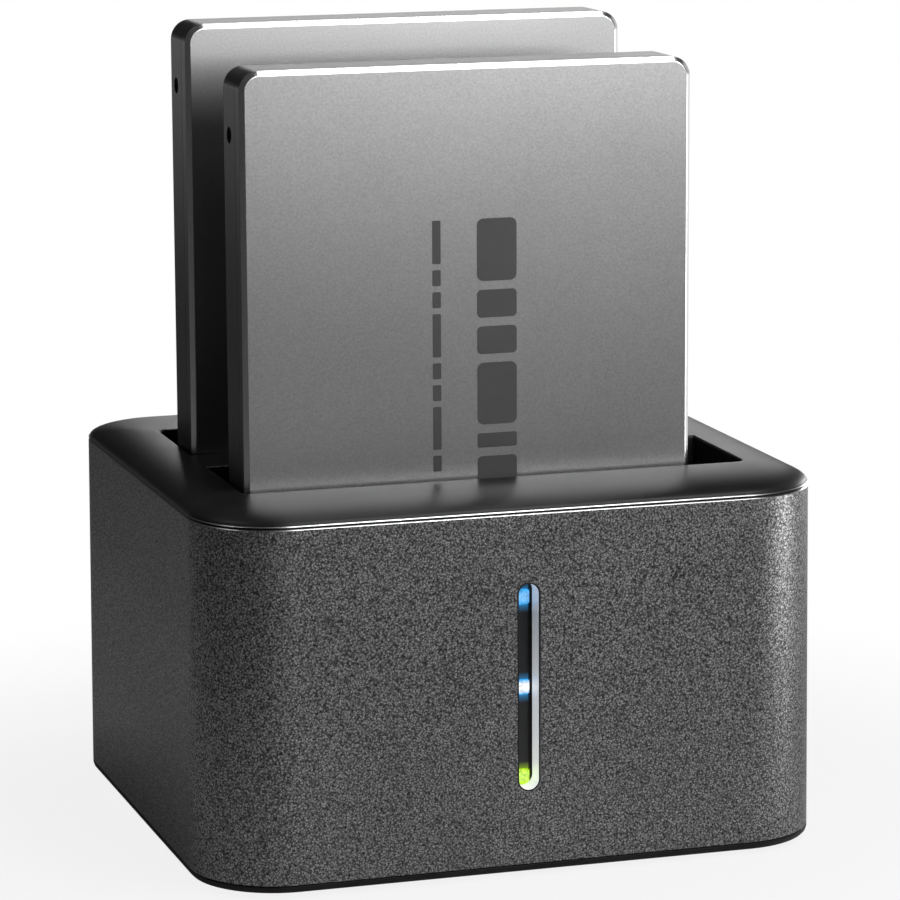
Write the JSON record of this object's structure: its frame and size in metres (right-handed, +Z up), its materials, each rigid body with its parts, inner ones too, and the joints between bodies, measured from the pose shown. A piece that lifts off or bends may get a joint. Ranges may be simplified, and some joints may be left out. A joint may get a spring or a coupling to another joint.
{
  "type": "hard drive docking station",
  "caption": "Upright desktop dock: grained case with rounded top bezel, front light bar, rear ports and rocker switch, holding flat drives that stand in its slots.",
  "frame": {"origin": "on the table under the middle of the dock", "axes": "+X to the right as seen from the light bar, +Y to the rear ports, +Z up along the drives"},
  "size_m": [0.0976, 0.0908, 0.1244],
  "materials": {
    "grained_grey": "spark-eroded grain, satin",
    "satin_black": "satin",
    "inner_black": "matt",
    "foot_rubber": "matt",
    "zinc_steel": "zinc plated",
    "black_steel": "black",
    "gold_contact": "gold plated",
    "board_green": "solder mask",
    "board_black": "solder mask",
    "chip_black": "moulded",
    "coil_grey": "moulded ferrite",
    "capacitor_can": "drawn",
    "bright_chrome": "polished",
    "gloss_black": "gloss",
    "blue_lens": "clear blue",
    "green_lens": "clear yellow green",
    "light_chip": "moulded",
    "port_steel": "nickel plated",
    "port_blue": "moulded",
    "drive_silver": "sand blasted",
    "drive_black": "satin black"
  },
  "bodies": {
    "dock": {"sleeve": "grained_grey", "top_bezel": "satin_black", "base_plate": "satin_black", "rubber_feet": "foot_rubber", "case_screws": "zinc_steel", "front_bay": "inner_black", "front_drive_socket": "gloss_black", "front_drive_socket_contacts": "gold_contact", "rear_bay": "inner_black", "rear_drive_socket": "gloss_black", "rear_drive_socket_contacts": "gold_contact", "main_board": "board_green", "board_screws": "zinc_steel", "rear_socket_riser": "inner_black", "bridge_chip": "chip_black", "copy_controller": "chip_black", "power_coils": "coil_grey", "crystals": "zinc_steel", "filter_capacitors": "capacitor_can", "light_bar_trim": "bright_chrome", "light_bar_window": "gloss_black", "upper_light_lens": "blue_lens", "middle_light_lens": "blue_lens", "lower_light_lens": "green_lens", "status_lights": "light_chip", "light_board": "board_green", "light_board_header": "inner_black", "rear_panel": "satin_black", "power_jack": "inner_black", "power_jack_pin": "port_steel", "data_port_shell": "port_steel", "data_port_tongue": "port_blue", "power_switch_case": "gloss_black", "rocker_pivot_pin": "zinc_steel", "power_switch_legs": "gold_contact", "copy_switch": "inner_black"},
    "front_drive": {"front_drive_cover": "drive_silver", "front_drive_case": "drive_black", "front_drive_plug": "gloss_black", "front_drive_contacts": "gold_contact", "front_drive_board": "board_black", "front_drive_chips": "chip_black", "front_drive_screws": "black_steel"},
    "rear_drive": {"rear_drive_cover": "drive_silver", "rear_drive_case": "drive_black", "rear_drive_plug": "gloss_black", "rear_drive_contacts": "gold_contact", "rear_drive_board": "board_black", "rear_drive_chips": "chip_black", "rear_drive_screws": "black_steel"},
    "copy_button": {"copy_button": "satin_black", "copy_switch_plunger": "gloss_black"},
    "power_rocker": {"power_rocker": "satin_black"}
  },
  "joints": [
    {"name": "front_drive_lift", "type": "slide", "parent": "dock", "child": "front_drive", "axis": [0, 0, 1], "range_m": [0, 0.045]},
    {"name": "rear_drive_lift", "type": "slide", "parent": "dock", "child": "rear_drive", "axis": [0, 0, 1], "range_m": [0, 0.045]},
    {"name": "copy_button_press", "type": "slide", "parent": "dock", "child": "copy_button", "axis": [0, -1, 0], "range_m": [0, 0.0005], "stiffness_N_per_m": 3000, "springref_m": -0.0003},
    {"name": "power_rocker_turn", "type": "hinge", "parent": "dock", "child": "power_rocker", "pos_m": [0.02244, 0.04045, 0.0156], "axis": [0, 0, -1], "range_deg": [0, 14]}
  ]
}
